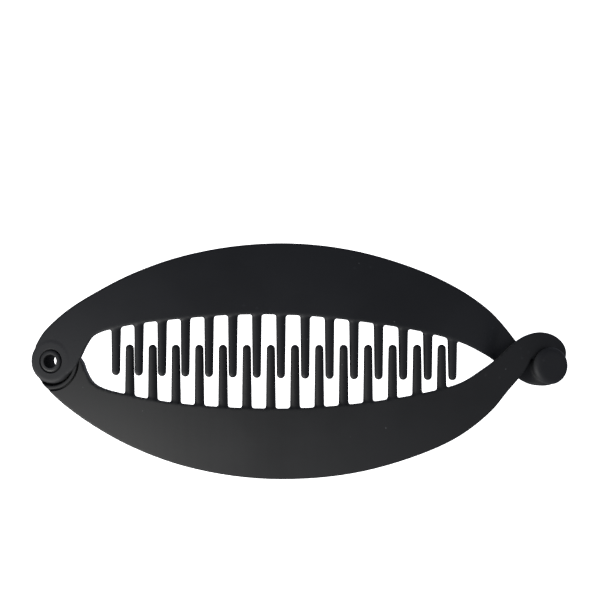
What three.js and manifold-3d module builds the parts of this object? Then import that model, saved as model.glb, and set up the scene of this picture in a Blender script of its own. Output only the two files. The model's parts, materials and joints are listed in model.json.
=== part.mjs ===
// Interlocking oval hair clip: two toothed arms on a hollow hinge eyelet, closed by two hooks that link.
// Units are millimetres. The clip lies on a table with its crowned face up, hinge at -X and clasp at +X.
import * as THREE from 'three';
import { mergeVertices } from 'three/addons/utils/BufferGeometryUtils.js';
import Module from 'manifold-3d';

const wasm = await Module();
wasm.setup();

// ---- Driving dimensions ----------------------------------------------------------------------

// Plan size of the closed clip
const HALF_REACH = 69.1; // from the middle of the clip to the hinge axis, and to the clasp on the other side
const HALF_WIDTH = 32.4; // from the centre line to the widest point of each arm
const ARM_WIDTH = 19.8; // width of one arm at the middle
const HINGE_Y = -0.4; // the hinge axis beside the centre line
const CLASP_Y = -1.7; // the clasp beside the centre line

// Crown of the outer face
const LENGTH_RADIUS = 235; // curve from the hinge to the clasp
const CROSS_RADIUS = 78; // curve across both arms

// Arm section
const WALL = 3.2;
const HINGE_NECK_WALL = 4.8; // the lower arm where it leaves the hinge's double layer
const EDGE_ROUND = 0.9;
const LAYER_GAP = 0.35; // clearance between two layers that cross

// Hinge
const EAR_RADIUS = 6.2;
const REAR_EAR_EXTRA = 0.2; // how much larger in radius the rear ear is
const POCKET_GAP = 2.2; // from the front ear to the step wall of the lower arm
const LAP_GAP = 0.3;
const EYELET_BORE_RADIUS = 1.85;
const EYELET_WALL = 0.6;
const EYELET_LIP = 0.6; // how far each rolled lip reaches beyond the tube
const EYELET_LIP_PROUD = 0.4; // height of each rolled lip above its ear
const RUNNING_CLEARANCE = 0.1; // between the eyelet and each arm
const RECESS_GAP = 0.15; // from a lip to the side of its recess
const RECESS_DEPTH = 0.9;

// Teeth
const TOOTH_PITCH = 6.4; // between the two upper teeth nearest the hinge
const TOOTH_PITCH_GROWTH = 0.0325; // how much wider each next pitch is
const HINGE_SPACE = 18.4; // from the hinge axis to the first upper tooth
const LAST_TOOTH_SPACE = 2; // least distance from the last upper tooth to the end of the even arm
const TEETH_FREE = 1; // what two teeth at full width leave free of the first pitch
const WIDE_GAP = 1.15; // from a lower tooth to the upper tooth before it, at full width
const TOOTH_TAPER = 0.25; // how much a tooth's radius shrinks from root to tip
const UPPER_TIP_CLEARANCE = 1.25; // from the last upper tooth's tip to the nearest edge of the lower arm
const UPPER_TIP_SLANT = 0.0142; // how much shorter the tooth before reaches, per millimetre of pitch
const LOWER_TIP_CLEARANCE = 1.9; // from the line of the lower tips to the nearest edge of the upper arm
const TOOTH_ROOT_BURY = 2; // how far a tooth runs into its arm

// Clasp
const KNOB_OFFSET = 0.1; // the knob's middle beyond the clasp's place
const KNOB_RADIUS = 5.25;
const KNOB_LEAN = 16; // degrees that the knob's face turns towards the clip's end
const KNOB_PROUD = 1.7; // the knob's face above the crown
const KNOB_RIM = 1.8; // thickness of the knob's round head
const KNOB_STEM_RADIUS = 4;
const KNOB_STEM = 4.2; // length of the stem behind the head
const KNOB_EDGE_ROUND = 1.1;

// ---- Shared helpers --------------------------------------------------------------------------

const hinge = new THREE.Vector2(-HALF_REACH, HINGE_Y);
const clasp = new THREE.Vector2(HALF_REACH, CLASP_Y);
const knobCentre = new THREE.Vector2(clasp.x + KNOB_OFFSET, clasp.y);

// Height of the crowned outer face, measured from its highest point.
function crown(x, y) {
  return -(x * x) / (2 * LENGTH_RADIUS) - (y * y) / (2 * CROSS_RADIUS);
}

const pocketRadius = EAR_RADIUS + POCKET_GAP;
const rearEarRadius = EAR_RADIUS + REAR_EAR_EXTRA;
const tubeRadius = EYELET_BORE_RADIUS + EYELET_WALL;
const lipRadius = tubeRadius + EYELET_LIP;
const recessRadius = lipRadius + RECESS_GAP;
const boreRadius = tubeRadius + RUNNING_CLEARANCE;

const hingeTilt = Math.atan(HALF_REACH / LENGTH_RADIUS);
const hingeTop = new THREE.Vector3(hinge.x, hinge.y, crown(hinge.x, hinge.y));

const SAME_POINT = 1e-5; // vertices closer than this are one

function toSolid(geometry) {
  geometry.deleteAttribute('normal');
  geometry.deleteAttribute('uv');
  const merged = mergeVertices(geometry, SAME_POINT);
  return new wasm.Manifold(new wasm.Mesh({
    numProp: 3,
    vertProperties: new Float32Array(merged.attributes.position.array),
    triVerts: new Uint32Array(merged.index.array),
  }));
}

function toGeometry(solid) {
  const mesh = solid.getMesh();
  const geometry = new THREE.BufferGeometry();
  geometry.setAttribute('position', new THREE.BufferAttribute(new Float32Array(mesh.vertProperties), 3));
  geometry.setIndex(new THREE.BufferAttribute(new Uint32Array(mesh.triVerts), 1));
  geometry.computeVertexNormals();
  return geometry;
}

// A closed bar. Its vertices are placed by place(along, ringIndex), or place(along, null) at an end's middle.
function bentBar(ringCount, steps, place) {
  const geometry = new THREE.CylinderGeometry(1, 1, 1, ringCount, steps);
  const position = geometry.attributes.position;
  const vertex = new THREE.Vector3();
  for (let i = 0; i < position.count; i += 1) {
    vertex.fromBufferAttribute(position, i);
    const along = 0.5 - vertex.y;
    const onAxis = Math.hypot(vertex.x, vertex.z) < 0.5;
    const turn = Math.atan2(vertex.x, vertex.z) / (2 * Math.PI);
    const ringIndex = (Math.round(turn * ringCount) + ringCount) % ringCount;
    const placed = place(along, onAxis ? null : ringIndex);
    position.setXYZ(i, placed.x, placed.y, placed.z);
  }
  return geometry;
}

// Points around a flat bar's section: x runs across from -1 to 1, y is up, with rounded corners.
const FLAT_STEPS = 5;
const CORNER_STEPS = 3;
const LARGEST_ROUND = 0.95; // of a thin section's half size, so that a flat is always left

function sectionRing(halfWidth, halfThickness) {
  const round = Math.min(EDGE_ROUND, halfThickness * LARGEST_ROUND, halfWidth * LARGEST_ROUND);
  const points = [];
  const corners = [[1, 1, 0], [-1, 1, 90], [-1, -1, 180], [1, -1, 270]];
  for (const [sideX, sideY, start] of corners) {
    for (let step = 0; step <= CORNER_STEPS; step += 1) {
      const angle = THREE.MathUtils.degToRad(start + (90 * step) / CORNER_STEPS);
      points.push(new THREE.Vector2(
        sideX * (halfWidth - round) + round * Math.cos(angle),
        sideY * (halfThickness - round) + round * Math.sin(angle),
      ));
    }
    if (sideX === sideY) {
      for (let step = 1; step < FLAT_STEPS; step += 1) {
        const across = 1 - (2 * step) / FLAT_STEPS;
        points.push(new THREE.Vector2(sideX * across * (halfWidth - round), sideY * halfThickness));
      }
    }
  }
  return points;
}

const RING_COUNT = 4 * (CORNER_STEPS + 1) + 2 * (FLAT_STEPS - 1);

// A bar that fills the plan between two rails, walked from the hinge to the clasp. Each station is its left
// point, its right point, the depth of its top face under the crown, and its thickness.
function railBar(stations, steps) {
  const rail = (points) => new THREE.CatmullRomCurve3(points, false, 'centripetal');
  const left = rail(stations.map(([x, y, , , depth]) => new THREE.Vector3(x, y, depth)));
  const right = rail(stations.map(([, , x, y, , thickness]) => new THREE.Vector3(x, y, thickness)));
  const place = (along, ringIndex) => {
    const from = right.getPoint(along);
    const to = left.getPoint(along);
    const depth = to.z;
    const thickness = from.z;
    const halfWidth = Math.hypot(from.x - to.x, from.y - to.y) / 2;
    const point = ringIndex === null
      ? new THREE.Vector2(0, 0)
      : sectionRing(halfWidth, thickness / 2)[ringIndex];
    const share = point.x / halfWidth;
    const x = (from.x + to.x) / 2 + (share * (from.x - to.x)) / 2;
    const y = (from.y + to.y) / 2 + (share * (from.y - to.y)) / 2;
    return new THREE.Vector3(x, y, crown(x, y) - depth - thickness / 2 + point.y);
  };
  return toSolid(bentBar(RING_COUNT, steps, place));
}

// A turned piece about the hinge axis. Its profile is [radius, level] with level 0 at the front ear's face.
const ROUND_STEPS = 40;

function turnedOnHinge(profile) {
  const points = profile.map(([radius, level]) => new THREE.Vector2(radius, level));
  const geometry = new THREE.LatheGeometry([...points, points[0]], ROUND_STEPS);
  geometry.rotateX(Math.PI / 2);
  geometry.rotateY(-hingeTilt);
  geometry.translate(hingeTop.x, hingeTop.y, hingeTop.z);
  return toSolid(geometry);
}

function discOnHinge(radius, bottom, top) {
  return turnedOnHinge([[0, bottom], [radius, bottom], [radius, top], [0, top]]);
}

// ---- Levels ----------------------------------------------------------------------------------

// Depths are counted down from the crown. The front layer is the wall itself.
const crossDepth = WALL + LAYER_GAP;
const lapLevel = -WALL - LAP_GAP;
const rearLevel = lapLevel - WALL;
const bothLayers = -rearLevel;

// ---- Plan of the arms ------------------------------------------------------------------------

// Along the toothed stretch: place along the reach, outer edge over the half width, width over the arm width.
const upperPlan = [
  [-0.82, 0.575, 0.598],
  [-0.68, 0.728, 0.71],
  [-0.48, 0.88, 0.87],
  [-0.24, 0.975, 0.965],
  [0, 0.99, 1],
  [0.24, 0.92, 0.97],
  [0.48, 0.762, 0.85],
  [0.64, 0.597, 0.735],
];
const lowerPlan = [
  [-0.82, 0.574, 0.595],
  [-0.68, 0.736, 0.72],
  [-0.48, 0.896, 0.87],
  [-0.24, 0.996, 0.975],
  [0, 1.013, 1],
  [0.24, 0.953, 0.97],
  [0.48, 0.804, 0.855],
  [0.64, 0.644, 0.74],
];

// Plan points near an end are counted in pocket radii from the hinge axis, or in millimetres from the clasp.
const byPocket = (x, y) => [hinge.x + x * pocketRadius, hinge.y + y * pocketRadius];
const byClasp = (x, y) => [clasp.x + x, clasp.y + y];

function roundHinge(radius, degrees) {
  const angle = THREE.MathUtils.degToRad(degrees);
  return [hinge.x + radius * Math.cos(angle), hinge.y + radius * Math.sin(angle)];
}

function edgesOf(plan, side) {
  return plan.map(([reachShare, edgeShare, widthShare]) => {
    const outer = edgeShare * HALF_WIDTH;
    const inner = outer - widthShare * ARM_WIDTH;
    const x = reachShare * HALF_REACH;
    return { outer: [x, side * outer], inner: [x, side * inner] };
  });
}

// How far the inner edge of an arm is from the centre line at x, on the straight lines between plan rows.
function innerEdge(plan, x) {
  const rows = edgesOf(plan, 1);
  const next = rows.findIndex(({ inner }) => inner[0] > x);
  const [fromX, fromY] = rows[next - 1].inner;
  const [toX, toY] = rows[next].inner;
  return fromY + ((toY - fromY) * (x - fromX)) / (toX - fromX);
}

function nearestEdge(plan, places) {
  return Math.min(...places.map((x) => innerEdge(plan, x)));
}

function station(left, right, depth, thickness) {
  return [...left, ...right, depth, thickness];
}

// ---- Teeth -----------------------------------------------------------------------------------

// The two rows of teeth share the pitch, and each lower tooth stands nearer to the upper tooth after it.
const toothRootRadius = (TOOTH_PITCH - TEETH_FREE) / 4;
const toothTipRadius = toothRootRadius - TOOTH_TAPER;
const lowerToothOffset = 2 * toothRootRadius + WIDE_GAP;
const firstTooth = hinge.x + HINGE_SPACE;
const lastToothLimit = upperPlan.at(-1)[0] * HALF_REACH - LAST_TOOTH_SPACE;
const upperToothPlaces = [];
let nextPitch = TOOTH_PITCH;
for (let x = firstTooth; x <= lastToothLimit; x += nextPitch, nextPitch += TOOTH_PITCH_GROWTH) {
  upperToothPlaces.push(x);
}
const lowerToothPlaces = upperToothPlaces.slice(0, -1).map((x) => x + lowerToothOffset);

// The tips of each row end on one straight line. The upper one is slanted, and the lower one runs along X.
const lastUpperTipY = UPPER_TIP_CLEARANCE - nearestEdge(lowerPlan, upperToothPlaces);
const upperTipY = (x) => lastUpperTipY + UPPER_TIP_SLANT * (upperToothPlaces.at(-1) - x);
const lowerTipY = nearestEdge(upperPlan, lowerToothPlaces) - LOWER_TIP_CLEARANCE;

const TOOTH_SIDES = 10;
const DOME_STEPS = 3;

// One tooth: a tapered round pin along Y with a domed tip, buried in its arm at rootY.
function tooth(x, rootY, tipY) {
  const direction = Math.sign(tipY - rootY);
  const length = Math.abs(tipY - rootY);
  const profile = [new THREE.Vector2(0, 0), new THREE.Vector2(toothRootRadius, 0)];
  for (let step = 0; step <= DOME_STEPS; step += 1) {
    const angle = (Math.PI / 2) * (step / DOME_STEPS);
    const radius = step === DOME_STEPS ? 0 : toothTipRadius * Math.cos(angle);
    profile.push(new THREE.Vector2(radius, length - toothTipRadius + toothTipRadius * Math.sin(angle)));
  }
  const geometry = new THREE.LatheGeometry(profile, TOOTH_SIDES);
  const rootHeight = crown(x, rootY) - WALL / 2;
  const tipHeight = crown(x, tipY) - WALL / 2;
  const lean = Math.atan2(tipHeight - rootHeight, length);
  if (direction < 0) {
    geometry.rotateZ(Math.PI);
  }
  geometry.rotateX(direction * lean);
  geometry.translate(x, rootY, rootHeight);
  return toSolid(geometry);
}

// ---- Upper arm -------------------------------------------------------------------------------

const UPPER_STEPS = 46;
const LAP_MARGIN = 1; // the upper arm's underside is flat this far past the step wall
const CUT_PAST = 2; // how far a cut runs past the face it opens through

function upperBlank() {
  const stations = [
    station(roundHinge(EAR_RADIUS, 140), roundHinge(EAR_RADIUS, -40), 0, WALL),
    station(byPocket(-0.286, 0.917), byPocket(0.857, -0.179), 0, WALL),
    station(byPocket(0.119, 1.333), byPocket(1.06, 0.19), 0, WALL),
    station(byPocket(0.655, 1.762), byPocket(1.245, 0.56), 0, WALL),
    ...edgesOf(upperPlan, 1).map(({ outer, inner }) => station(outer, inner, 0, WALL)),
    station(byClasp(-17.3, 15.8), byClasp(-18.9, 3.6), 0.25 * crossDepth, WALL),
    station(byClasp(-13, 11.7), byClasp(-15.7, 1.7), crossDepth, WALL),
    station(byClasp(-9.3, 7.1), byClasp(-12.6, -0.8), crossDepth, WALL),
    station(byClasp(-6.9, 4.1), byClasp(-9.1, -3.2), crossDepth, WALL),
    station(byClasp(-4.2, 2), byClasp(-5.2, -4.9), crossDepth, WALL),
    station(byClasp(-1, 1.6), byClasp(-1, -5), crossDepth * 0.6, WALL),
  ];
  return railBar(stations, UPPER_STEPS);
}

const KNOB_ROUND_STEPS = 3;
const KNOB_SIDES = 32;

// The round head of the knob stands in front of the hook, and its stem passes inside the hook's curl.
function knob() {
  const headBack = KNOB_PROUD - KNOB_RIM;
  const profile = [
    new THREE.Vector2(0, headBack - KNOB_STEM),
    new THREE.Vector2(KNOB_STEM_RADIUS, headBack - KNOB_STEM),
    new THREE.Vector2(KNOB_STEM_RADIUS, headBack),
    new THREE.Vector2(KNOB_RADIUS, headBack),
  ];
  for (let step = 0; step <= KNOB_ROUND_STEPS; step += 1) {
    const angle = THREE.MathUtils.degToRad((90 * step) / KNOB_ROUND_STEPS);
    profile.push(new THREE.Vector2(
      KNOB_RADIUS - KNOB_EDGE_ROUND + KNOB_EDGE_ROUND * Math.cos(angle),
      KNOB_PROUD - KNOB_EDGE_ROUND + KNOB_EDGE_ROUND * Math.sin(angle),
    ));
  }
  profile.push(new THREE.Vector2(0, KNOB_PROUD));
  const geometry = new THREE.LatheGeometry(profile, KNOB_SIDES);
  geometry.rotateX(Math.PI / 2);
  geometry.rotateY(THREE.MathUtils.degToRad(KNOB_LEAN));
  geometry.translate(knobCentre.x, knobCentre.y, crown(knobCentre.x, knobCentre.y));
  return toSolid(geometry);
}

function upperArm() {
  let solid = upperBlank();
  solid = solid.add(discOnHinge(EAR_RADIUS, -WALL, 0));
  solid = solid.add(knob());
  for (const x of upperToothPlaces) {
    solid = solid.add(tooth(x, innerEdge(upperPlan, x) + TOOTH_ROOT_BURY, upperTipY(x)));
  }
  const clearBelow = discOnHinge(pocketRadius + LAP_MARGIN, rearLevel, -WALL);
  const bore = discOnHinge(boreRadius, rearLevel, CUT_PAST);
  const recess = discOnHinge(recessRadius, -RECESS_DEPTH, CUT_PAST);
  return solid.subtract(clearBelow).subtract(bore).subtract(recess);
}

// ---- Lower arm -------------------------------------------------------------------------------

const LOWER_STEPS = 56;

function lowerBlank() {
  const plan = edgesOf(lowerPlan, -1);
  const stations = [
    station(roundHinge(rearEarRadius, 42), roundHinge(rearEarRadius, -138), 0, bothLayers),
    station(byPocket(0.857, 0.095), byPocket(-0.226, -0.821), 0, bothLayers),
    station(byPocket(1.083, -0.083), byPocket(0.119, -1.155), 0, bothLayers),
    station(byPocket(1.226, -0.321), byPocket(0.619, -1.571), 0, bothLayers),
    ...plan.map(({ outer, inner }, i) => station(inner, outer, 0, i === 0 ? HINGE_NECK_WALL : WALL)),
    station(byClasp(-18.9, -0.9), byClasp(-16.2, -12.3), 0, WALL),
    station(byClasp(-15.4, 1.6), byClasp(-11.9, -7.1), 0, WALL),
    station(byClasp(-12.5, 4.2), byClasp(-8.5, -3.2), 0, WALL),
    station(byClasp(-9.4, 6.8), byClasp(-6.3, -0.2), 0, WALL),
    station(byClasp(-6.3, 8.5), byClasp(-4.9, 2.2), 0.2, WALL),
    station(byClasp(-2.4, 9.3), byClasp(-2.7, 4.3), 0.9, WALL),
    station(byClasp(1.2, 8.5), byClasp(0.3, 4.9), 2.4, WALL),
    station(byClasp(3.8, 6.3), byClasp(1.8, 4.6), 4, WALL),
    station(byClasp(4.8, 3.6), byClasp(1.2, 2.2), 5.3, WALL),
    station(byClasp(4.6, 0.8), byClasp(0.6, 0.7), 5.9, WALL),
    station(byClasp(3.7, -1.8), byClasp(1.2, -1.2), 6.1, WALL),
  ];
  return railBar(stations, LOWER_STEPS);
}

function lowerArm() {
  let solid = lowerBlank();
  solid = solid.subtract(discOnHinge(pocketRadius, lapLevel, CUT_PAST));
  solid = solid.add(discOnHinge(rearEarRadius, rearLevel, lapLevel));
  for (const x of lowerToothPlaces) {
    solid = solid.add(tooth(x, -innerEdge(lowerPlan, x) - TOOTH_ROOT_BURY, lowerTipY));
  }
  const bore = discOnHinge(boreRadius, rearLevel - CUT_PAST, lapLevel + CUT_PAST);
  const recess = discOnHinge(recessRadius, rearLevel - CUT_PAST, rearLevel + RECESS_DEPTH);
  return solid.subtract(bore).subtract(recess);
}

// ---- Hinge eyelet ----------------------------------------------------------------------------

const LIP_ROUND_STEPS = 5;

// A tube with a lip rolled over at each end. Each lip sits in its ear's recess with the running clearance.
function hingeEyelet() {
  const lipRound = (lipRadius - EYELET_BORE_RADIUS) / 2;
  const lipCentre = EYELET_BORE_RADIUS + lipRound;
  const topLip = EYELET_LIP_PROUD - lipRound;
  const bottomLip = rearLevel - EYELET_LIP_PROUD + lipRound;
  const profile = [];
  const addLip = (level, fromDegrees, toDegrees) => {
    for (let step = 0; step <= LIP_ROUND_STEPS; step += 1) {
      const turn = ((toDegrees - fromDegrees) * step) / LIP_ROUND_STEPS;
      const angle = THREE.MathUtils.degToRad(fromDegrees + turn);
      profile.push([lipCentre + lipRound * Math.cos(angle), level + lipRound * Math.sin(angle)]);
    }
  };
  profile.push([EYELET_BORE_RADIUS, bottomLip]);
  addLip(bottomLip, 180, 360);
  profile.push([lipRadius, rearLevel + RECESS_DEPTH - RUNNING_CLEARANCE]);
  profile.push([tubeRadius, rearLevel + RECESS_DEPTH - RUNNING_CLEARANCE]);
  profile.push([tubeRadius, -RECESS_DEPTH + RUNNING_CLEARANCE]);
  profile.push([lipRadius, -RECESS_DEPTH + RUNNING_CLEARANCE]);
  addLip(topLip, 0, 180);
  return turnedOnHinge(profile);
}

// ---- Assembly --------------------------------------------------------------------------------

const group = new THREE.Group();

function addPiece(name, solid, colour, roughness) {
  const material = new THREE.MeshStandardMaterial({ color: colour, roughness, metalness: 0 });
  const mesh = new THREE.Mesh(toGeometry(solid), material);
  mesh.name = name;
  group.add(mesh);
}

addPiece('upper_arm', upperArm(), 0x23252a, 0.62);
addPiece('lower_arm', lowerArm(), 0x26282c, 0.62);
addPiece('hinge_eyelet', hingeEyelet(), 0x2b2c30, 0.5);

// The origin is under the middle of the clip, on the surface that it lies on.
const bounds = new THREE.Box3().setFromObject(group);
const middle = bounds.getCenter(new THREE.Vector3());
group.position.set(-middle.x, -middle.y, -bounds.min.z);
group.updateMatrixWorld(true);

export default group;
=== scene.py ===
import json
import math

import bmesh
import bpy
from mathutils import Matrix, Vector


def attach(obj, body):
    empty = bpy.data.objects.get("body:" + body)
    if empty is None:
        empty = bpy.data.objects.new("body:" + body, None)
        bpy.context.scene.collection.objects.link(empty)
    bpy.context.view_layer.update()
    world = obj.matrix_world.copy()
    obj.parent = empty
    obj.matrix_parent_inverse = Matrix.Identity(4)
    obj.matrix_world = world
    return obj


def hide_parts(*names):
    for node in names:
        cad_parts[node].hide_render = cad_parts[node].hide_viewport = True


bl_info = {
    "name": "Interlocking Hair Clip",
    "version": (1, 0, 0),
    "blender": (4, 5, 0),
    "location": "View3D > Sidebar > Hair Clip",
    "description": "Builds an oval hair clip: two toothed arms on a hinge eyelet, in a soft-touch finish",
    "category": "Add Mesh",
}

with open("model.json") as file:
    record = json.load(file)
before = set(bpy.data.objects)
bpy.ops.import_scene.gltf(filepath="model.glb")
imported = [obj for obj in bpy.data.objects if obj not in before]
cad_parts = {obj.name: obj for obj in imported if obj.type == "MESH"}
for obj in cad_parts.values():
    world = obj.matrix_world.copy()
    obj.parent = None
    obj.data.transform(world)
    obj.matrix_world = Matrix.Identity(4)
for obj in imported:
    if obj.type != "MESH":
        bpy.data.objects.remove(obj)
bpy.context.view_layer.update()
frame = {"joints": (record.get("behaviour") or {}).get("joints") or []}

MM = 0.001
JOINT = frame["joints"][0]
HINGE = Vector(JOINT["pos_m"])  # on the front ear's face, in the middle of the eyelet
TILT = math.atan2(-JOINT["axis"][0], JOINT["axis"][2])

# Directions of the arms' end edges round the hinge, in degrees.
UPPER_END = 140
LOWER_END = 42
REAR_INSETS = 3  # the lower arm's end stays this many end insets inside the rear ear

# Places over the reach between which the lower arm thins from both layers to one.
THINNING_START = -0.87
THINNING_LENGTH = 0.17

UPPER_STEPS = 92  # steps along the upper arm's strip
LOWER_STEPS = 112  # steps along the lower arm's strip
CUTS_ACROSS = 11  # lengthwise cuts that curve a strip with the crown
START_HALF = MM  # half the side of the plane that a strip starts as
EDGE_SEGMENTS = 5
EDGE_ANGLE = math.radians(50)  # sharper edges than this are rounded
SHADE_ANGLE = math.radians(38)  # flatter edges than this are shaded smooth
ROUND_SIDES = 64
FINE_SIDES = 96
SAME_PLACE = 1e-7  # points nearer than this are merged
SMOOTH_PASSES = 2
PAST = 2 * MM  # how far a cutter reaches past the face that it opens
FLARE = 0.3 * MM  # round at the rim of a cut
FILLET = 0.5 * MM  # round at the back of the knob
TOOTH_SIDES = 24
TOOTH_LENGTH = 8 * MM  # of the tooth that is copied, before it is drawn back
TIP_ROUND = 0.97  # round of a tooth's tip over its radius
BURY = 2 * MM  # how far a tooth's root lies inside its arm

FLOOR_SIDE = 12  # metres
SKY_STRENGTH = 1.15  # of the white that the camera sees beyond the floor
SKY_COLOUR = (0.9, 0.95, 1.1, 1)
LAMP_COLOUR = (1, 0.985, 0.94)
CLASP_LIGHT_STEP = 90 * MM  # from the clasp to its light, outwards and upwards
CLASP_LIGHT_SIZE = 80 * MM
SENSOR_WIDTH = 36  # millimetres


# ---- Plan of the arms ----------------------------------------------------------------------------

# Along the teeth: place over the reach, outer edge over the half width, width over the arm width.
UPPER_ROWS = [
    (-0.82, 0.575, 0.598),
    (-0.68, 0.728, 0.71),
    (-0.48, 0.88, 0.87),
    (-0.24, 0.975, 0.965),
    (0, 0.99, 1),
    (0.24, 0.92, 0.97),
    (0.48, 0.762, 0.85),
    (0.64, 0.597, 0.735),
]
LOWER_ROWS = [
    (-0.82, 0.574, 0.595),
    (-0.68, 0.736, 0.72),
    (-0.48, 0.896, 0.87),
    (-0.24, 0.996, 0.975),
    (0, 1.013, 1),
    (0.24, 0.953, 0.97),
    (0.48, 0.804, 0.855),
    (0.64, 0.644, 0.74),
]

# Round the hinge: left point and right point in pocket radii from the hinge axis.
UPPER_NECK = [
    ((-0.286, 0.917), (0.857, -0.179)),
    ((0.119, 1.333), (1.06, 0.19)),
    ((0.655, 1.762), (1.245, 0.56)),
]
LOWER_NECK = [
    ((0.96, 0.11), (-0.226, -0.821)),
    ((1.09, -0.08), (0.119, -1.165)),
    ((1.185, -0.34), (0.619, -1.581)),
]

# To the clasp: left point and right point in millimetres from the clasp, and depth under the crown.
# The upper arm's depth is a share of the crossing's depth, and the lower arm's is in millimetres.
UPPER_CROSSING = [
    ((-17.3, 15.8), (-18.9, 3.6), 0.25),
    ((-13, 11.7), (-15.7, 1.7), 1),
    ((-9.3, 7.1), (-12.6, -0.8), 1),
    ((-6.9, 4.1), (-9.1, -3.2), 1),
    ((-4.2, 1.7), (-5.3, -5.2), 0.75),
    ((-1.4, 1.8), (-1.6, -5.6), 0.15),
    ((1, 1.8), (1, -5.3), 0.2),
]
LOWER_HOOK = [
    ((-18.9, -0.9), (-16.2, -12.3), 0),
    ((-15.4, 1.6), (-11.9, -7.1), 0),
    ((-12.5, 4.2), (-8.5, -3.2), 0),
    ((-9.4, 6.8), (-6.3, -0.2), 0),
    ((-6.3, 8.5), (-4.9, 2.2), 0.2),
    ((-2.4, 9.3), (-2.1, 3.5), 0.9),
    ((1.4, 8.5), (0.6, 4.2), 2.3),
    ((4.3, 6.4), (1.8, 4.4), 3.7),
    ((5.6, 3.7), (1.2, 2.2), 5.1),
    ((5.1, 0.8), (0.6, 0.7), 5.9),
    ((3.7, -1.8), (1.2, -1.2), 6.1),
]


# ---- Settings ------------------------------------------------------------------------------------


def size(name, description, millimetres):
    return bpy.props.FloatProperty(
        name=name, description=description, default=millimetres * MM, unit="LENGTH", precision=5
    )


class ClipSizes(bpy.types.PropertyGroup):
    """The sizes of the moulded arms and the eyelet."""

    half_reach: size("Half reach", "From the middle of the clip to the hinge axis", 69.1)
    half_width: size("Half width", "From the centre line to the widest point of an arm", 32.4)
    arm_width: size("Arm width", "Width of one arm at the middle", 19.8)
    hinge_y: size("Hinge offset", "The hinge axis beside the centre line", -0.4)
    clasp_y: size("Clasp offset", "The clasp beside the centre line", -1.7)
    length_radius: size("Length radius", "Curve of the crown from hinge to clasp", 235)
    cross_radius: size("Cross radius", "Curve of the crown across both arms", 78)
    wall: size("Wall", "Thickness of an arm", 3.2)
    edge_round: size("Edge round", "Radius along the long edges of an arm", 1.1)
    layer_gap: size("Layer gap", "Clearance between the layers that cross at the clasp", 0.35)
    ear_radius: size("Ear radius", "Radius of the front ear", 6.2)
    rear_ear_extra: size("Rear ear extra", "How much larger the rear ear is", 0.2)
    end_inset: size("End inset", "How far an arm's end stays inside its round ear", 0.12)
    pocket_gap: size("Pocket gap", "From the front ear to the step wall", 2.2)
    ledge_width: size("Ledge width", "Width of the rib that stands in the pocket", 0.95)
    ledge_depth: size("Ledge depth", "How far the rib lies under the face", 0.45)
    groove_width: size("Groove width", "From the rib to the step wall", 0.6)
    groove_depth: size("Groove depth", "How far the groove behind the rib goes down", 1.5)
    lap_gap: size("Lap gap", "Clearance between the two ears", 0.3)
    bore_radius: size("Bore radius", "Radius of the hole through the eyelet", 1.8)
    eyelet_wall: size("Eyelet wall", "Thickness of the eyelet's tube", 0.65)
    eyelet_lip: size("Eyelet lip", "How far a rolled lip reaches past the tube", 0.6)
    lip_proud: size("Lip height", "Height of a rolled lip above its ear", 0.4)
    clearance: size("Running clearance", "Between the eyelet and each arm", 0.1)
    recess_gap: size("Recess gap", "From a lip to the side of its recess", 0.22)
    recess_depth: size("Recess depth", "Depth of the recess round a lip", 0.9)
    tooth_pitch: size("Tooth pitch", "Between the two upper teeth nearest the hinge", 6.4)
    tooth_growth: size("Tooth pitch growth", "How much wider each next pitch is", 0.0325)
    tooth_root: size("Tooth root radius", "Radius of a tooth at its arm", 1.42)
    tooth_tip: size("Tooth tip radius", "Radius of a tooth at its tip", 1.17)
    tooth_offset: size("Tooth offset", "From an upper tooth to the lower tooth after it", 3.85)
    hinge_space: size("Hinge space", "From the hinge axis to the first upper tooth", 18.4)
    upper_tip: size("Upper tip line", "Where the last upper tooth ends, across the clip", -5.585)
    lower_tip: size("Lower tip line", "Where the lower teeth end, across the clip", 4.365)
    knob_radius: size("Knob radius", "Radius of the knob's round head", 5.2)
    knob_offset: size("Knob offset", "The knob's middle beyond the clasp's place", 0.25)
    knob_proud: size("Knob height", "The knob's face above the crown", 1.7)
    knob_rim: size("Knob rim", "Thickness of the knob's round head", 1.8)
    knob_round: size("Knob edge round", "Radius round the edge of the knob's face", 1.75)
    knob_stem_radius: size("Knob stem radius", "Radius of the stem behind the head", 4.2)
    knob_stem: size("Knob stem", "Length of the stem behind the head", 4.2)
    grid: size("Skin grid", "Spacing of the skin that blends a moulding's parts", 0.33)
    knob_lean: bpy.props.FloatProperty(
        name="Knob lean", description="How far the knob's face turns towards the clip's end",
        default=math.radians(20), subtype="ANGLE",
    )
    tip_slant: bpy.props.FloatProperty(
        name="Tip slant",
        description="How much shorter an upper tooth is, for its distance from the last one",
        default=0.0142, precision=4,
    )
    teeth: bpy.props.IntProperty(
        name="Upper teeth", description="Number of teeth on the upper arm", default=15, min=2
    )


def colour(name, description, value):
    return bpy.props.FloatVectorProperty(
        name=name, description=description, default=value, subtype="COLOR", size=3, min=0, max=1
    )


def share(name, description, value):
    return bpy.props.FloatProperty(
        name=name, description=description, default=value, subtype="FACTOR", min=0, max=1
    )


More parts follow.
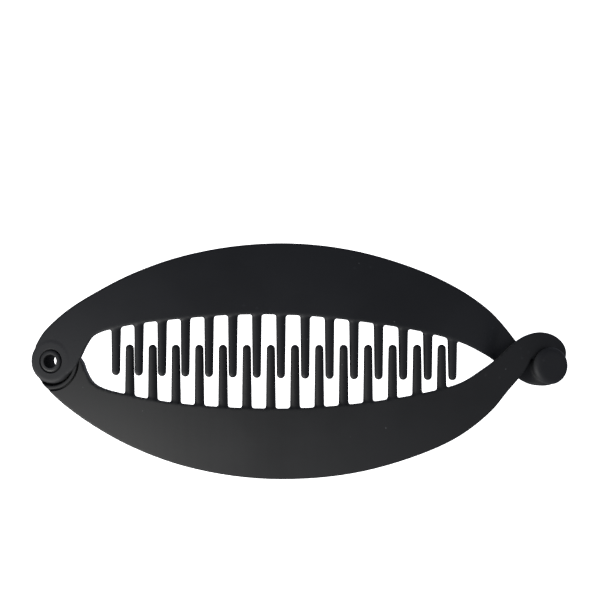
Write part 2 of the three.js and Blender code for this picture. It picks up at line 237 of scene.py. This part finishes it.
class ClipFinish(bpy.types.PropertyGroup):
    """The soft-touch finish of the arms and the plain finish of the eyelet."""

    # The upper arm's black is a little bluer than the lower arm's: a painted tint of sky light on the
    # upper arm.
    upper_black_sky_tinted: colour("Upper black", "Colour of the upper arm", (0.0160, 0.0165, 0.0180))
    lower_black: colour("Lower black", "Colour of the lower arm", (0.0160, 0.0163, 0.0170))
    eyelet_black: colour("Eyelet black", "Colour of the eyelet", (0.020, 0.0204, 0.0215))
    lint: colour("Lint", "Colour of the fine dust on the coating", (0.16, 0.16, 0.165))
    dullness: share("Dullness", "Roughness of the coating", 0.56)
    eyelet_dullness: share("Eyelet dullness", "Roughness of the eyelet", 0.42)
    grain: share("Grain", "Strength of the fine grain", 0.24)
    velvet: share("Velvet", "Strength of the coating's soft sheen", 0.02)
    gloss: share("Gloss", "Strength of the coating's reflections", 0.15)


class ClipStudio(bpy.types.PropertyGroup):
    """The floor, the lights and the camera."""

    floor_drop: size("Floor drop", "How far the floor lies under the closed clip", 95)
    camera_height: size("Camera height", "Height of the camera over the crown", 560)
    camera_y: size("Camera offset", "The camera beside the centre line", 16.53)
    lens: bpy.props.FloatProperty(
        name="Lens", description="Focal length", default=0.1235, unit="CAMERA"
    )
    ambient: bpy.props.FloatProperty(
        name="Ambient", description="Strength of the light from all round", default=0.38, min=0
    )
    key_power: bpy.props.FloatProperty(
        name="Key power", description="Power of the soft light at the hinge's side",
        default=2.15, min=0, unit="POWER",
    )
    clasp_power: bpy.props.FloatProperty(
        name="Clasp power", description="Power of the small light at the clasp's side",
        default=0.022, min=0, unit="POWER",
    )
    key_distance: size("Key distance", "From the middle of the clip to the soft light", 354)
    key_size: size("Key size", "Side of the soft light", 240)
    key_turn: bpy.props.FloatProperty(
        name="Key turn", description="Direction of the soft light round the clip",
        default=math.radians(221), subtype="ANGLE",
    )
    key_rise: bpy.props.FloatProperty(
        name="Key rise", description="Height of the soft light over the clip as an angle",
        default=math.radians(20), subtype="ANGLE",
    )


# ---- The clip's own places -----------------------------------------------------------------------


def sizes():
    return bpy.context.scene.clip_sizes


def crown(x, y):
    """Height of the outer face, counted from the crown's top."""
    s = sizes()
    return -x * x / (2 * s.length_radius) - y * y / (2 * s.cross_radius)


def hinge_plan():
    s = sizes()
    return Vector((-s.half_reach, s.hinge_y))


def clasp_plan():
    s = sizes()
    return Vector((s.half_reach, s.clasp_y))


def hinge_top():
    plan = hinge_plan()
    return Vector((plan.x, plan.y, crown(plan.x, plan.y)))


def clip_shift():
    """From where the arms are modelled, with the crown's top at the origin, to the clip's place."""
    return HINGE - hinge_top()


def pocket_radius():
    s = sizes()
    return s.ear_radius + s.pocket_gap


def rear_ear_radius():
    s = sizes()
    return s.ear_radius + s.rear_ear_extra


def tube_hole():
    """Radius of the hole that the eyelet's tube runs in."""
    s = sizes()
    return s.bore_radius + s.eyelet_wall + s.clearance


def lip_hole():
    """Radius of the recess that a rolled lip lies in."""
    s = sizes()
    return s.bore_radius + s.eyelet_wall + s.eyelet_lip + s.recess_gap


def lap_level():
    s = sizes()
    return -s.wall - s.lap_gap


def rear_level():
    return lap_level() - sizes().wall


def tooth_places():
    """Places along the clip of the upper teeth and of the lower teeth between them."""
    s = sizes()
    first = -s.half_reach + s.hinge_space
    upper = [first + i * s.tooth_pitch + i * (i - 1) / 2 * s.tooth_growth for i in range(s.teeth)]
    lower = [x + s.tooth_offset for x in upper[:-1]]
    return upper, lower


def row_edges(rows):
    """Outer and inner edge points of an arm's rows, on the upper side of the centre line."""
    s = sizes()
    edges = []
    for along, outer, width in rows:
        x, y = along * s.half_reach, outer * s.half_width
        edges.append((Vector((x, y)), Vector((x, y - width * s.arm_width))))
    return edges


def inner_edge(rows, x):
    """How far an arm's inner edge is from the centre line at x."""
    inner = [edge[1] for edge in row_edges(rows)]
    for start, end in zip(inner, inner[1:]):
        if start.x <= x <= end.x:
            return start.y + (end.y - start.y) * (x - start.x) / (end.x - start.x)
    raise RuntimeError(f"no row of the arm reaches {x}")


def round_hinge(radius, degrees):
    turn = math.radians(degrees)
    return hinge_plan() + Vector((math.cos(turn), math.sin(turn))) * radius


def with_height(point, height):
    return Vector((point[0], point[1], height))


def neck_stations(neck):
    middle, radius = hinge_plan(), pocket_radius()
    return [(middle + Vector(left) * radius, middle + Vector(right) * radius, 0) for left, right in neck]


def clasp_stations(rows, unit):
    """Stations counted from the clasp. Their depths are in the given unit."""
    clasp = clasp_plan()
    return [
        (clasp + Vector(left) * MM, clasp + Vector(right) * MM, depth * unit)
        for left, right, depth in rows
    ]


def upper_stations():
    """Left and right points of the upper arm from hinge to clasp, with their depths under the crown."""
    s = sizes()
    ear = s.ear_radius - s.end_inset
    stations = [(round_hinge(ear, UPPER_END), round_hinge(ear, UPPER_END - 180), 0)]
    stations += neck_stations(UPPER_NECK)
    stations += [(outer, inner, 0) for outer, inner in row_edges(UPPER_ROWS)]
    stations += clasp_stations(UPPER_CROSSING, s.wall + s.layer_gap)
    return stations


def lower_stations():
    """Left and right points of the lower arm, in the same way."""
    ear = rear_ear_radius() - REAR_INSETS * sizes().end_inset
    stations = [(round_hinge(ear, LOWER_END), round_hinge(ear, LOWER_END - 180), 0)]
    stations += neck_stations(LOWER_NECK)
    for outer, inner in row_edges(LOWER_ROWS):
        stations.append((Vector((inner.x, -inner.y)), Vector((outer.x, -outer.y)), 0))
    stations += clasp_stations(LOWER_HOOK, MM)
    return stations


def smooth_rail(points, steps):
    """Points spaced along one smooth curve that passes through the given points."""
    padded = [points[0] * 2 - points[1], *points, points[-1] * 2 - points[-2]]
    rail = []
    for step in range(steps + 1):
        place = (len(points) - 1) * step / steps
        i = min(int(place), len(points) - 2)
        t = place - i
        a, b, c, d = padded[i : i + 4]
        before, between, after = ((q - p).length ** 0.5 for p, q in ((a, b), (b, c), (c, d)))
        leave = ((b - a) / before - (c - a) / (before + between) + (c - b) / between) * between
        arrive = ((c - b) / between - (d - b) / (between + after) + (d - c) / after) * between
        square = 3 * (c - b) - 2 * leave - arrive
        cube = 2 * (b - c) + leave + arrive
        rail.append(b + leave * t + square * t**2 + cube * t**3)
    return rail


# ---- Modelling by hand ---------------------------------------------------------------------------


def object_mode():
    if bpy.context.object and bpy.context.object.mode != "OBJECT":
        bpy.ops.object.mode_set(mode="OBJECT")
    bpy.ops.object.select_all(action="DESELECT")


def edit(obj):
    object_mode()
    obj.select_set(True)
    bpy.context.view_layer.objects.active = obj
    bpy.ops.object.mode_set(mode="EDIT")


def select_only(*objects):
    object_mode()
    for obj in objects:
        obj.select_set(True)
    bpy.context.view_layer.objects.active = objects[0]


def named(name):
    """Names the object that was just added, and its mesh."""
    obj = bpy.context.object
    obj.name = name
    obj.data.name = name
    return obj


def pick(obj, kind, test):
    """In edit mode, selects the vertices, edges or faces that pass the test, and nothing else."""
    bpy.ops.mesh.select_mode(type=kind)
    bpy.ops.mesh.select_all(action="DESELECT")
    mesh = bmesh.from_edit_mesh(obj.data)
    for item in {"VERT": mesh.verts, "EDGE": mesh.edges, "FACE": mesh.faces}[kind]:
        if test(item):
            item.select_set(True)
    mesh.select_flush_mode()
    bmesh.update_edit_mesh(obj.data)


def near(point, reach=1e-6):
    return lambda vertex: (vertex.co - point).length < reach


def move(step):
    bpy.ops.transform.translate(value=step)


def apply_modifier(obj, kind, **settings):
    select_only(obj)
    modifier = obj.modifiers.new(kind.title(), kind)
    for name, value in settings.items():
        setattr(modifier, name, value)
    bpy.ops.object.modifier_apply(modifier=modifier.name)


def outward(obj):
    """Merges doubles and turns every face outwards."""
    edit(obj)
    bpy.ops.mesh.select_all(action="SELECT")
    bpy.ops.mesh.remove_doubles(threshold=SAME_PLACE)
    bpy.ops.mesh.normals_make_consistent(inside=False)
    object_mode()


def settle(obj):
    """Puts the object's place into its mesh."""
    select_only(obj)
    bpy.ops.object.transform_apply(location=True, rotation=True, scale=True)
    object_mode()


def strip(name, stations, steps):
    """A flat strip: its end edge is drawn out from station to station, and then it is cut lengthwise."""
    left = smooth_rail([with_height(p, -depth) for p, _, depth in stations], steps)
    right = smooth_rail([with_height(q, 0) for _, q, _ in stations], steps)
    right = [with_height(q, p.z) for p, q in zip(left, right)]
    object_mode()
    bpy.ops.mesh.primitive_plane_add(size=2 * START_HALF, location=(0, 0, 0))
    obj = named(name)
    edit(obj)
    corners = {(-1, 1): left[0], (-1, -1): right[0], (1, 1): left[1], (1, -1): right[1]}
    for (x, y), target in corners.items():
        corner = Vector((x * START_HALF, y * START_HALF, 0))
        pick(obj, "VERT", near(corner))
        move(target - corner)
    pick(obj, "VERT", lambda v: near(left[1])(v) or near(right[1])(v))
    for i in range(2, len(left)):
        drawn = left[i] - left[i - 1]
        bpy.ops.mesh.extrude_region_move(TRANSFORM_OT_translate={"value": drawn})
        corner = right[i - 1] + drawn
        pick(obj, "VERT", near(corner))
        move(right[i] - corner)
        pick(obj, "VERT", lambda v: near(left[i])(v) or near(right[i])(v))
    across = {frozenset(map(tuple_of, pair)) for pair in zip(left, right)}
    pick(obj, "EDGE", lambda e: frozenset(tuple_of(v.co) for v in e.verts) in across)
    bpy.ops.mesh.subdivide(number_cuts=CUTS_ACROSS)
    object_mode()
    return obj


def tuple_of(point):
    """A point's place to a tenth of a micrometre, to tell points apart."""
    return tuple(round(value, 7) for value in point)


def bar(name, stations, steps, extra_depth):
    """A strip laid on the crown, drawn down by the wall's thickness, with its edges rounded."""
    s = sizes()
    obj = strip(name, stations, steps)
    for vertex in obj.data.vertices:
        vertex.co.z += crown(vertex.co.x, vertex.co.y)
    edit(obj)
    bpy.ops.mesh.select_all(action="SELECT")
    bpy.ops.mesh.extrude_region_move(TRANSFORM_OT_translate={"value": (0, 0, -s.wall)})
    object_mode()
    for vertex in obj.data.vertices:
        if vertex.select:
            vertex.co.z -= extra_depth(vertex.co.x)
    outward(obj)
    apply_modifier(
        obj, "BEVEL", width=s.edge_round, segments=EDGE_SEGMENTS,
        limit_method="ANGLE", angle_limit=EDGE_ANGLE,
    )
    return obj


def turned(name, profile, sides=ROUND_SIDES):
    """A round piece: a circle drawn on from ring to ring along [radius, height], with closed ends."""
    object_mode()
    radius, height = profile[0]
    bpy.ops.mesh.primitive_circle_add(vertices=sides, radius=radius, location=(0, 0, 0))
    obj = named(name)
    edit(obj)
    bpy.ops.mesh.select_all(action="SELECT")
    move((0, 0, height))
    bpy.ops.mesh.edge_face_add()
    for next_radius, next_height in profile[1:]:
        step = (0, 0, next_height - height)
        bpy.ops.mesh.extrude_region_move(TRANSFORM_OT_translate={"value": step})
        wider = next_radius / radius
        bpy.ops.transform.resize(value=(wider, wider, 1), center_override=(0, 0, next_height))
        radius, height = next_radius, next_height
    object_mode()
    return obj


def onto_hinge(obj):
    """Stands a round piece on the hinge axis, with height 0 at the front ear's face."""
    obj.rotation_euler = (0, -TILT, 0)
    obj.location = hinge_top()
    settle(obj)
    outward(obj)
    return obj


def arc(radius, centre_radius, height, start, end, steps):
    """Points of a round edge for turned()."""
    points = []
    for step in range(steps + 1):
        turn = math.radians(start + (end - start) * step / steps)
        points.append((centre_radius + radius * math.cos(turn), height + radius * math.sin(turn)))
    return points


def join(name, *objects):
    select_only(*objects)
    bpy.ops.object.join()
    obj = named(name)
    object_mode()
    return obj


def cut(obj, cutter):
    apply_modifier(obj, "BOOLEAN", operation="DIFFERENCE", solver="EXACT", object=cutter)
    bpy.data.objects.remove(cutter)


def one_skin(obj):
    """Blends the overlapping parts of a moulding into one skin, with soft inner corners."""
    grid = sizes().grid * 1
    apply_modifier(obj, "REMESH", mode="VOXEL", voxel_size=grid)
    apply_modifier(obj, "SMOOTH", factor=0.5, iterations=SMOOTH_PASSES)


def to_place(obj, body, node):
    """Moves a finished moulding from the crown's top to the clip's place, and hands it to its body."""
    obj.location = clip_shift()
    settle(obj)
    select_only(obj)
    bpy.ops.object.shade_smooth_by_angle(angle=SHADE_ANGLE)
    object_mode()
    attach(obj, body)
    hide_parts(node)


# ---- Teeth ---------------------------------------------------------------------------------------


def tooth_pattern(direction):
    """One tooth with its tip at the origin, drawn back by its length. Direction 1 points to +Y."""
    s = sizes()
    object_mode()
    bpy.ops.mesh.primitive_cone_add(
        vertices=TOOTH_SIDES, radius1=s.tooth_root, radius2=s.tooth_tip, depth=TOOTH_LENGTH,
        location=(0, -direction * TOOTH_LENGTH / 2, 0), rotation=(-direction * math.pi / 2, 0, 0),
    )
    obj = named("tooth_pattern")
    settle(obj)
    edit(obj)
    pick(obj, "EDGE", lambda e: all(abs(v.co.y) < 1e-6 for v in e.verts))
    bpy.ops.mesh.bevel(offset=s.tooth_tip * TIP_ROUND, offset_type="OFFSET", segments=6, affect="EDGES")
    object_mode()
    return obj


def toothed_row(places, rows, direction, tip_line):
    """Copies of the tooth, each leaned to follow the crown and drawn back into its arm."""
    s = sizes()
    pattern = tooth_pattern(direction)
    teeth = []
    for x in places:
        select_only(pattern)
        bpy.ops.object.duplicate()
        tooth = named("tooth")
        root_y = -direction * (inner_edge(rows, x) + BURY)
        root = Vector((x, root_y, crown(x, root_y) - s.wall / 2))
        tip = Vector((x, tip_line(x), crown(x, tip_line(x)) - s.wall / 2))
        along = tip - root
        lean = math.atan2(along.z, abs(along.y))
        tooth.rotation_euler = (direction * lean, 0, 0)
        tooth.location = tip
        settle(tooth)
        edit(tooth)
        back = tip - along.normalized() * TOOTH_LENGTH
        pick(tooth, "VERT", lambda v: (v.co - back).length < s.tooth_root * 1.05)
        move(root - back)
        object_mode()
        teeth.append(tooth)
    bpy.data.objects.remove(pattern)
    return teeth


# ---- Finishes ------------------------------------------------------------------------------------


class Value:
    """A node's output. Sums written with it add their Math nodes."""

    def __init__(self, finish, socket):
        self.finish = finish
        self.socket = socket

    def maths(self, operation, *terms):
        return self.finish.node("ShaderNodeMath", {"operation": operation}, dict(enumerate(terms)))

    def __add__(self, other):
        return self.maths("ADD", self, other)

    def __sub__(self, other):
        return self.maths("SUBTRACT", self, other)

    def __rsub__(self, other):
        return self.maths("SUBTRACT", other, self)

    def __mul__(self, other):
        return self.maths("MULTIPLY", self, other)

    __radd__ = __add__
    __rmul__ = __mul__

    def over(self, edge):
        """1 where this is over the edge, and 0 elsewhere."""
        return self.maths("GREATER_THAN", self, edge)

    def under(self, edge):
        return self.maths("LESS_THAN", self, edge)

    def output(self, name):
        """Another output of the same node."""
        return Value(self.finish, self.socket.node.outputs[name])


class Finish:
    """A material, and the one way that nodes are added to it."""

    def __init__(self, name):
        self.material = bpy.data.materials.new(name)
        self.material.use_nodes = True
        self.tree = self.material.node_tree
        self.shader = self.tree.nodes["Principled BSDF"]

    def node(self, kind, settings=None, sockets=None):
        made = self.tree.nodes.new(kind)
        for name, value in (settings or {}).items():
            setattr(made, name, value)
        self.feed(made, sockets or {})
        shown = [socket for socket in made.outputs if socket.enabled]
        return Value(self, shown[0])

    def feed(self, node, sockets):
        for name, value in sockets.items():
            shown = [socket for socket in node.inputs if socket.enabled]
            if isinstance(name, int):
                socket = shown[name]
            else:
                socket = next(s for s in shown if s.name == name)
            if isinstance(value, Value):
                self.tree.links.new(value.socket, socket)
            else:
                socket.default_value = value

    def place(self):
        return self.node("ShaderNodeTexCoord").output("Object")

    def noise(self, scale, detail=2.0, roughness=0.5):
        return self.node(
            "ShaderNodeTexNoise", {"noise_dimensions": "3D"},
            {"Vector": self.place(), "Scale": scale, "Detail": detail, "Roughness": roughness},
        )

    def edges(self):
        """Over a half on outward edges."""
        return self.node("ShaderNodeNewGeometry").output("Pointiness")

    def from_hinge(self):
        """Distance from the hinge axis."""
        axis = Vector(JOINT["axis"]).normalized()
        vector = "ShaderNodeVectorMath"
        from_joint = self.node(vector, {"operation": "SUBTRACT"}, {0: self.place(), 1: HINGE})
        across = self.node(vector, {"operation": "CROSS_PRODUCT"}, {0: from_joint, 1: axis})
        return self.node(vector, {"operation": "LENGTH"}, {0: across})

    def ramp(self, value, low, high, start=0.0, end=1.0):
        """A soft step of the value from start to end, between low and high."""
        return self.node(
            "ShaderNodeMapRange", {"interpolation_type": "SMOOTHSTEP"},
            {"Value": value, "From Min": low, "From Max": high, "To Min": start, "To Max": end},
        )

    def mix(self, share_of_second, first, second):
        """Blends two colours."""
        return self.node(
            "ShaderNodeMix", {"data_type": "RGBA"}, {"Factor": share_of_second, "A": first, "B": second}
        )

    def bump(self, height, strength, distance):
        sockets = {"Height": height, "Strength": strength, "Distance": distance}
        return self.node("ShaderNodeBump", None, sockets)


def shade_of(rgb, factor):
    return (*(channel * factor for channel in rgb), 1.0)


def soft_touch(name, black):
    """Rubbery black coating: dull, faintly clouded, with a very fine grain, a little lint, and lighter
    edges that are partly wear and partly a painted highlight.
    """
    look = bpy.context.scene.clip_finish
    finish = Finish(name)
    cloud = finish.ramp(finish.noise(scale=38.0, detail=3.0), low=0.35, high=0.65)
    grain = finish.noise(scale=3600.0, detail=3.0, roughness=0.6)
    orange_peel = finish.noise(scale=620.0, detail=2.0)
    cells = finish.node(
        "ShaderNodeTexVoronoi", {"feature": "F1"},
        {"Vector": finish.place(), "Scale": 420.0, "Randomness": 1.0},
    )
    chosen = finish.node("ShaderNodeSeparateColor", None, {"Color": cells.output("Color")})
    lint = cells.under(0.075) * chosen.over(0.93)
    # Lighter outward edges: partly rubbed wear, partly a painted highlight along the rounded edges.
    wear_and_edge_highlight = finish.ramp(finish.edges(), low=0.53, high=0.6)
    base = finish.mix(cloud, first=shade_of(black, 0.9), second=shade_of(black, 1.12))
    base = finish.mix(wear_and_edge_highlight * 0.35, base, shade_of(black, 1.9))
    base = finish.mix(lint * 0.4, base, (*look.lint, 1.0))
    height = grain + orange_peel * 0.5  # the fine grain stands on a broader ripple
    finish.feed(finish.shader, {
        "Base Color": base,
        "Roughness": look.dullness + 0.07 * (cloud - 0.5) + 0.08 * (grain - 0.5) - 0.05 * wear_and_edge_highlight,
        "Normal": finish.bump(height, look.grain, distance=0.06 * MM),
        "Sheen Weight": look.velvet,
        "Sheen Roughness": 0.45,
        "Specular IOR Level": look.gloss,
    })
    return finish.material


def plain_black(name, black):
    """The eyelet's moulded black, a little shinier where its lips are rolled over, with a painted
    highlight on the lips and painted shade inside the bore.
    """
    look = bpy.context.scene.clip_finish
    finish = Finish(name)
    bore = sizes().bore_radius
    cloud = finish.noise(scale=260.0, detail=3.0)
    grain = finish.noise(scale=5200.0, detail=2.0)
    # The rolled lips are painted lighter, a painted highlight on their rounded edges, and are also made a
    # little less rough.
    rolled = finish.ramp(finish.edges(), low=0.5, high=0.58)
    # Painted shade inside the bore: the hole's wall is darkened almost to black and made duller.
    inside = 1 - finish.ramp(finish.from_hinge(), low=bore + 0.05 * MM, high=bore + 0.3 * MM)
    base = finish.mix(cloud, first=shade_of(black, 0.85), second=shade_of(black, 1.15))
    base = finish.mix(rolled * 0.5, base, shade_of(black, 1.6))
    base = finish.mix(inside * 0.9, base, shade_of(black, 0.15))
    finish.feed(finish.shader, {
        "Base Color": base,
        "Roughness": look.eyelet_dullness + 0.1 * (cloud - 0.5) - 0.08 * rolled + 0.3 * inside,
        "Normal": finish.bump(grain, look.grain, distance=0.04 * MM),
        "Specular IOR Level": look.gloss,
    })
    return finish.material


def coat(obj, material):
    obj.data.materials.clear()
    obj.data.materials.append(material)


# ---- Pieces --------------------------------------------------------------------------------------


class CLIP_OT_upper_arm(bpy.types.Operator):
    """Models the upper arm with its front ear, its teeth and its knob"""

    bl_idname = "clip.upper_arm"
    bl_label = "Upper Arm"
    bl_options = {"REGISTER", "UNDO"}

    def execute(self, context):
        s = sizes()
        arm = bar("Upper_arm", upper_stations(), UPPER_STEPS, lambda x: 0)
        round_ = s.edge_round
        ear = onto_hinge(turned("ear", [
            (s.ear_radius * 0.98, -s.wall), (s.ear_radius, -s.wall * 0.9),
            *arc(round_, s.ear_radius - round_, -round_, 0, 90, 6),
        ]))
        back = s.knob_proud - s.knob_rim
        knob = turned("knob", [
            *arc(FILLET, s.knob_stem_radius - FILLET, back - s.knob_stem + FILLET, -90, 0, 4),
            (s.knob_radius - FILLET, back - FILLET),
            *arc(s.knob_round, s.knob_radius - s.knob_round, s.knob_proud - s.knob_round, 0, 90, 8),
        ])
        knob.rotation_euler = (0, s.knob_lean, 0)
        centre = clasp_plan() + Vector((s.knob_offset, 0))
        knob.location = (centre.x, centre.y, crown(centre.x, centre.y))
        settle(knob)
        outward(knob)
        places = tooth_places()[0]

        def tip_line(x):
            return s.upper_tip + s.tip_slant * (places[-1] - x)

        teeth = toothed_row(places, UPPER_ROWS, -1, tip_line)
        arm = join("Upper_arm", arm, ear, knob, *teeth)
        one_skin(arm)
        under = pocket_radius() + MM
        cut(arm, onto_hinge(turned("underside", [(under, rear_level()), (under, -s.wall)])))
        tube, recess = tube_hole(), lip_hole()
        cut(arm, onto_hinge(turned("bore_and_recess", [
            (tube, rear_level()), (tube, -s.recess_depth), (recess, -s.recess_depth),
            *reversed(arc(FLARE, recess + FLARE, -FLARE, 90, 180, 5)), (recess + FLARE, PAST),
        ])))
        to_place(arm, "upper_half", "upper_arm")
        coat(arm, soft_touch("soft_touch_upper", context.scene.clip_finish.upper_black_sky_tinted))
        return {"FINISHED"}


class CLIP_OT_lower_arm(bpy.types.Operator):
    """Models the lower arm with its rear ear, its teeth and its hook"""

    bl_idname = "clip.lower_arm"
    bl_label = "Lower Arm"
    bl_options = {"REGISTER", "UNDO"}

    def execute(self, context):
        s = sizes()
        second_layer = -rear_level() - s.wall

        def extra_depth(x):
            t = min(max((x / s.half_reach - THINNING_START) / THINNING_LENGTH, 0), 1)
            return second_layer * (1 - t * t * (3 - 2 * t))

        arm = bar("Lower_arm", lower_stations(), LOWER_STEPS, extra_depth)
        rear = rear_ear_radius()
        ear = onto_hinge(turned("rear_ear", [
            (rear - s.edge_round, rear_level()),
            *arc(s.edge_round, rear - s.edge_round, rear_level() + s.edge_round, -90, 0, 5)[1:],
            (rear, lap_level()),
        ]))
        teeth = toothed_row(tooth_places()[1], LOWER_ROWS, 1, lambda x: s.lower_tip)
        arm = join("Lower_arm", arm, ear, *teeth)
        one_skin(arm)
        pocket = pocket_radius()
        rib_outside = pocket - s.groove_width
        rib_inside = rib_outside - s.ledge_width
        cut(arm, onto_hinge(turned("pocket", [
            (rib_inside, lap_level()), (rib_inside, -s.ledge_depth - FLARE),
            *reversed(arc(FLARE, rib_inside + FLARE, -s.ledge_depth - FLARE, 90, 180, 4)),
            *reversed(arc(FLARE, rib_outside - FLARE, -s.ledge_depth - FLARE, 0, 90, 4)),
            (rib_outside, -s.groove_depth), (pocket, -s.groove_depth),
            *reversed(arc(FLARE, pocket + FLARE, -FLARE, 90, 180, 4)), (pocket + FLARE, PAST),
        ], FINE_SIDES)))
        tube, recess = tube_hole(), lip_hole()
        cut(arm, onto_hinge(turned("rear_bore_and_recess", [
            (recess, rear_level() - PAST), (recess, rear_level() + s.recess_depth),
            (tube, rear_level() + s.recess_depth), (tube, 0),
        ])))
        to_place(arm, "lower_half", "lower_arm")
        coat(arm, soft_touch("soft_touch_lower", context.scene.clip_finish.lower_black))
        return {"FINISHED"}


class CLIP_OT_eyelet(bpy.types.Operator):
    """Models the hollow hinge eyelet with its two rolled lips"""

    bl_idname = "clip.eyelet"
    bl_label = "Hinge Eyelet"
    bl_options = {"REGISTER", "UNDO"}

    def execute(self, context):
        s = sizes()
        tube = s.bore_radius + s.eyelet_wall
        lip = tube + s.eyelet_lip
        roll = (lip - s.bore_radius) / 2
        middle = s.bore_radius + roll
        under = s.recess_depth - s.clearance
        body = turned("eyelet_body", [
            *arc(roll, middle, rear_level() - s.lip_proud + roll, -90, 0, 10),
            (lip, rear_level() + under), (tube, rear_level() + under),
            (tube, -under), (lip, -under),
            *arc(roll, middle, s.lip_proud - roll, 0, 90, 10),
        ], FINE_SIDES)
        body = onto_hinge(body)
        low, high = rear_level() - s.lip_proud, s.lip_proud
        flared = s.bore_radius + FLARE
        open_end = s.bore_radius + FLARE * 1.02  # a little wider, so that no face is cut edge on
        cut(body, onto_hinge(turned("bore", [
            (open_end, low - MM), (flared, low),
            *reversed(arc(FLARE, flared, low + FLARE, 180, 265, 8)),
            *reversed(arc(FLARE, flared, high - FLARE, 95, 180, 8)),
            (flared, high), (open_end, high + MM),
        ], FINE_SIDES)))
        body.name = "Hinge_eyelet"
        to_place(body, "lower_half", "hinge_eyelet")
        coat(body, plain_black("eyelet_black", context.scene.clip_finish.eyelet_black))
        return {"FINISHED"}


class CLIP_OT_stage(bpy.types.Operator):
    """Sets the white floor, the soft lights and the camera"""

    bl_idname = "clip.stage"
    bl_label = "Stage"
    bl_options = {"REGISTER", "UNDO"}

    def execute(self, context):
        studio = context.scene.clip_studio
        object_mode()
        bpy.ops.mesh.primitive_plane_add(size=FLOOR_SIDE, location=(0, 0, -studio.floor_drop))
        floor = named("floor")
        settle(floor)
        floor.visible_diffuse = False
        floor.visible_glossy = False
        white = Finish("white_floor")
        white.feed(white.shader, {
            "Base Color": white.mix(white.noise(scale=3.0), (0.9, 0.9, 0.9, 1), (0.92, 0.92, 0.92, 1)),
            "Roughness": 0.9,
            "Emission Color": (1, 1, 1, 1),
            "Emission Strength": 1.0,
        })
        coat(floor, white.material)
        self.surroundings(studio.ambient)
        context.scene.view_settings.view_transform = "Standard"
        middle = clip_shift()
        flat = math.cos(studio.key_rise)
        towards = Vector((
            flat * math.cos(studio.key_turn), flat * math.sin(studio.key_turn), math.sin(studio.key_rise),
        ))
        key = middle + towards * studio.key_distance
        self.softbox("key", middle, key, studio.key_size, studio.key_power)
        knob = middle + Vector((sizes().half_reach, 0, 0))
        beside = knob + Vector((CLASP_LIGHT_STEP, 0, CLASP_LIGHT_STEP))
        self.softbox("clasp_side", knob, beside, CLASP_LIGHT_SIZE, studio.clasp_power)
        bpy.ops.object.camera_add(location=middle + Vector((0, studio.camera_y, studio.camera_height)))
        camera = bpy.context.object
        camera.name = "camera"
        camera.data.sensor_width = SENSOR_WIDTH
        camera.data.lens = studio.lens * 1000  # in millimetres
        camera.data.clip_start = 0.01
        camera.data.clip_end = 50
        context.scene.camera = camera
        return {"FINISHED"}

    def surroundings(self, ambient):
        """White behind the floor's edge, and a weak even light on the clip."""
        world = bpy.data.worlds.new("studio")
        world.use_nodes = True
        background = world.node_tree.nodes["Background"]
        background.inputs["Color"].default_value = SKY_COLOUR
        seen = world.node_tree.nodes.new("ShaderNodeLightPath")
        strength = world.node_tree.nodes.new("ShaderNodeMapRange")
        strength.inputs["To Min"].default_value = ambient
        strength.inputs["To Max"].default_value = SKY_STRENGTH
        world.node_tree.links.new(seen.outputs["Is Camera Ray"], strength.inputs["Value"])
        world.node_tree.links.new(strength.outputs["Result"], background.inputs["Strength"])
        bpy.context.scene.world = world

    def softbox(self, name, target, place, side, power):
        object_mode()
        bpy.ops.object.light_add(type="AREA", location=place)
        lamp = bpy.context.object
        lamp.name = name
        lamp.data.shape = "SQUARE"
        lamp.data.size = side
        lamp.data.energy = power
        lamp.data.color = LAMP_COLOUR
        lamp.visible_camera = False
        lamp.rotation_euler = (target - place).to_track_quat("-Z", "Y").to_euler()


class CLIP_PT_panel(bpy.types.Panel):
    """Lists the clip's sizes, finish and pieces"""

    bl_idname = "CLIP_PT_panel"
    bl_label = "Hair Clip"
    bl_space_type = "VIEW_3D"
    bl_region_type = "UI"
    bl_category = "Hair Clip"

    def draw(self, context):
        for heading, group in (
            ("Sizes", context.scene.clip_sizes),
            ("Finish", context.scene.clip_finish),
            ("Studio", context.scene.clip_studio),
        ):
            column = self.layout.column(align=True)
            column.label(text=heading)
            for name in group.__annotations__:
                column.prop(group, name)
        column = self.layout.column()
        for piece in PIECES:
            column.operator(piece.bl_idname)


PIECES = (CLIP_OT_stage, CLIP_OT_upper_arm, CLIP_OT_lower_arm, CLIP_OT_eyelet)
GROUPS = {"clip_sizes": ClipSizes, "clip_finish": ClipFinish, "clip_studio": ClipStudio}


def register():
    for group in (*GROUPS.values(), *PIECES, CLIP_PT_panel):
        bpy.utils.register_class(group)
    for name, group in GROUPS.items():
        setattr(bpy.types.Scene, name, bpy.props.PointerProperty(type=group))


def unregister():
    for name in GROUPS:
        delattr(bpy.types.Scene, name)
    for group in reversed((*GROUPS.values(), *PIECES, CLIP_PT_panel)):
        bpy.utils.unregister_class(group)


def main():
    register()
    bpy.ops.clip.stage()
    bpy.ops.clip.upper_arm()
    bpy.ops.clip.lower_arm()
    bpy.ops.clip.eyelet()


if __name__ == "__main__":
    main()
